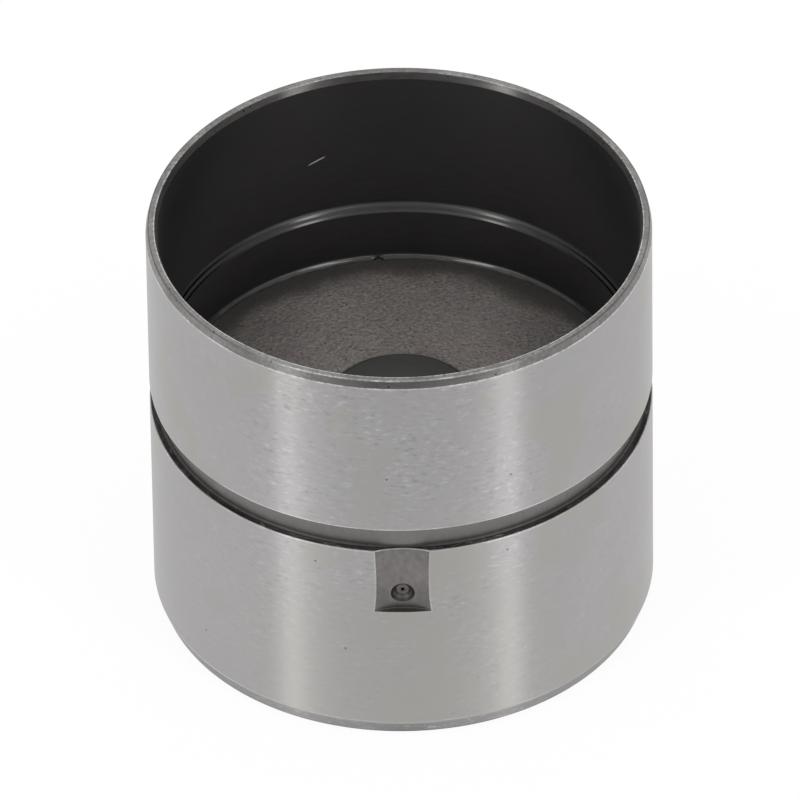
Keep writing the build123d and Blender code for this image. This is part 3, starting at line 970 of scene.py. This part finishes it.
# The web is stained olive and pink in places, painted shade darkens it to the sides, and it is
# smoother and darker towards its rolled edge
olive_stain, pink_stain = (0.30, 0.285, 0.235), (0.34, 0.275, 0.275)
rim_and_side_shade_tone = (0.092, 0.083, 0.076)
tree, shader, where, xyz, colour = reopen(web_finish)
cloudy, out = noise(tree, where, 230.0, detail=3.0), axis_distance(tree, where)
out = maths(tree, "MULTIPLY_ADD", cloudy, 3.4 * mm, out)
dark_rim_and_side_shade = ramp(tree, out, 14.4 * mm, 16.9 * mm, high=0.88, smooth=True)
side_shade = maths(tree, "ABSOLUTE", xyz["X"])
side_shade = ramp(tree, side_shade, 5.0 * mm, 10.5 * mm, high=0.33, smooth=True)
dark_rim_and_side_shade = maths(tree, "MAXIMUM", dark_rim_and_side_shade, side_shade)
stain = noise(tree, where, 340.0)
olive = ramp(tree, stain, 0.5, 0.62, high=0.3, smooth=True)
pink = ramp(tree, stain, 0.5, 0.38, high=0.3, smooth=True)
coats = [(olive, olive_stain), (pink, pink_stain), (dark_rim_and_side_shade, rim_and_side_shade_tone)]
paint(tree, shader, colour, coats)
relief = shader.inputs["Normal"].links[0].from_node
tree.links.new(ramp(tree, dark_rim_and_side_shade, 0.0, 1.0, low=1.0, high=0.4), relief.inputs["Strength"])

web = turned_piece("guide_insert", web_profile, even_angles, web_finish, ring=True)
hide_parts("guide_sleeve")
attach(web, "bucket")

# Inner housing: hardened cup of the lash adjuster, lapped outside, whose closed face takes
# the valve stem. It slides in the sleeve.
housing_wall = 1.5
housing_bore, housing_ceiling = housing_radius - housing_wall, turned_size("return_spring")[2]
housing_profile = turned_profile(
    (0, housing_ceiling),
    (housing_bore, housing_ceiling, 0.1),
    (housing_bore, housing_open, 0.15),
    (housing_radius, housing_open, 0.15),
    (housing_radius, housing_face, 0.12, -0.2),
    (2.5, housing_face),
    (0, housing_face),
)
lapped_finish = steel(
    "lapped_steel",
    tones=((0.15, 0.152, 0.146), (0.18, 0.182, 0.176)),
    roughness=0.34,
    spread=0.02,
    marks=(300.0, 5000.0),
    bump=0.0004,
    anisotropy=0.4,
)
housing = turned_piece("adjuster_housing", housing_profile, even_angles, lapped_finish)
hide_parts("inner_housing")
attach(housing, "adjuster")

piston_radius, piston_foot, piston_top = turned_size("piston")
piston_wall, piston_end_wall, valve_hole, seat_depth = 1.28, 1.2, 0.9, 0.7
piston_bore, piston_ceiling = piston_radius - piston_wall, piston_top - piston_end_wall
piston_profile = turned_profile(
    (piston_bore, piston_foot + 1.0),
    (piston_bore, piston_foot, 0.15),
    (piston_radius, piston_foot, 0.2),
    (piston_radius, piston_top, 0.2),
    (valve_hole + seat_depth, piston_top, 0.06),
    (valve_hole, piston_top - seat_depth, 0.06),
    (valve_hole, piston_ceiling, 0.05),
    (piston_bore, piston_ceiling, 0.2),
    (piston_bore, piston_foot + 1.1),
)
few_angles = np.linspace(0, 2 * pi, 144, endpoint=False)
piston = turned_piece("reservoir_piston", piston_profile, few_angles, lapped_finish, ring=True)
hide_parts("piston")
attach(piston, "bucket")

# Check ball: a polished bearing ball that closes the piston's hole.
ball_radius, ball_low, ball_high = turned_size("check_ball")
ball_middle = (ball_low + ball_high) / 2
latitude = np.linspace(-pi / 2, pi / 2, 49)
ball_out, ball_up = ball_radius * np.cos(latitude), ball_radius * np.sin(latitude)
ball_profile = np.stack([ball_out, ball_middle + ball_up, 0 * latitude], -1)
ball_finish = steel(
    "ball_steel",
    tones=((0.50, 0.50, 0.50), (0.56, 0.56, 0.56)),
    roughness=0.12,
    spread=0.02,
    marks=(900.0, 900.0),
    bump=0.0002,
)
ball = turned_piece("valve_ball", ball_profile, few_angles, ball_finish)
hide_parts("check_ball")
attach(ball, "ball")

# Valve cap: a top hat pressed from thin sheet, which keeps the ball and its spring over the
# seat. Four windows in its wall let the oil through.
cap_flange, cap_foot, cap_top = turned_size("valve_cap")
cap_sheet, cap_wall, cap_window_width, cap_bend = 0.3, 1.9, 1.0, 0.2
window_low, window_high = cap_foot + cap_sheet + cap_bend, cap_top - cap_sheet - cap_bend
cap_profile = turned_profile(
    (cap_flange, cap_foot + cap_sheet / 2),
    (cap_wall, cap_foot + cap_sheet / 2, 0.15),
    (cap_wall, window_low),
    (cap_wall, window_high),
    (cap_wall, cap_top - cap_sheet / 2, 0.25),
    (0, cap_top - cap_sheet / 2),
)
cell_low, cell_high = cap_profile[:-1, 1], cap_profile[1:, 1]
window_rows = (cell_low > window_low - 0.01) & (cell_high < window_high + 0.01)
from_window = np.abs((few_angles + radians(1.25) + pi / 4) % (pi / 2) - pi / 4)
window_columns = from_window < cap_window_width / 2 / cap_wall
solid = ~(window_rows[:, None] & window_columns[None, :])
cap_finish = steel(
    "cap_sheet_steel",
    tones=((0.34, 0.33, 0.31), (0.44, 0.43, 0.41)),
    roughness=0.38,
    marks=(600.0, 4000.0),
    bump=0.002,
)
cap = turned_piece("valve_hat", cap_profile, few_angles, cap_finish, keep=solid)
thickness = cap.modifiers.new("sheet", "SOLIDIFY")
thickness.thickness, thickness.offset = cap_sheet * mm, 0.0
thickness.use_even_offset = True
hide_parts("valve_cap")
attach(cap, "bucket")

# Springs: drawn steel wire, coiled with ground ends. The return spring pushes the housing
# and the piston apart, and the check spring holds the ball on its seat, with the ball's top
# a little way inside its first coil.
spring_finish = steel(
    "spring_steel",
    tones=((0.24, 0.235, 0.23), (0.34, 0.335, 0.33)),
    roughness=0.33,
    marks=(1500.0, 1500.0),
    bump=0.001,
)


def coil_points(outer_radius, low, high, wire, turns, around=12, per_turn=40):
    """Wire of a coil spring: a circle of the wire's radius, in the plane through the axis,
    carried along the helix (R cos u, R sin u, z0 + rise u / 2 pi n), with heights limited to
    the ground ends. Each end is closed by a row at the wire's middle."""
    u = np.linspace(0, 2 * pi * turns, int(per_turn * turns) + 1)[:, None]
    v = np.linspace(0, 2 * pi, around, endpoint=False)[None, :]
    size = np.full(len(u) + 2, wire / 2)[:, None]
    size[[0, -1]] = 0
    u = np.vstack([u[:1], u, u[-1:]])
    reach = outer_radius - wire / 2 + size * np.cos(v)
    middle = low + wire / 4 + (high - low - wire / 2) * u / (2 * pi * turns)
    height = np.clip(middle + size * np.sin(v), low, high)
    return np.stack([reach * np.cos(u), reach * np.sin(u), height], -1)


for node, name, joint, wire, turns, raised_foot, fixed_end, keep_share in (
    ("return_spring", "plunger_spring", "adjuster_slide", 0.6, 3.5, 0.0, 0, 0.583),
    ("check_spring", "ball_spring", "ball_lift", 0.16, 1.5, 0.07, 1, 0.424),
):
    coil_radius, *ends = turned_size(node)
    ends[0] += raised_foot
    coil = coil_points(coil_radius, *ends, wire, turns)
    spring = make_piece(name, coil, grid_faces(*coil.shape[:2])[..., ::-1], [spring_finish])
    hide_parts(node)
    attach(spring, "bucket")
    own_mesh(spring)
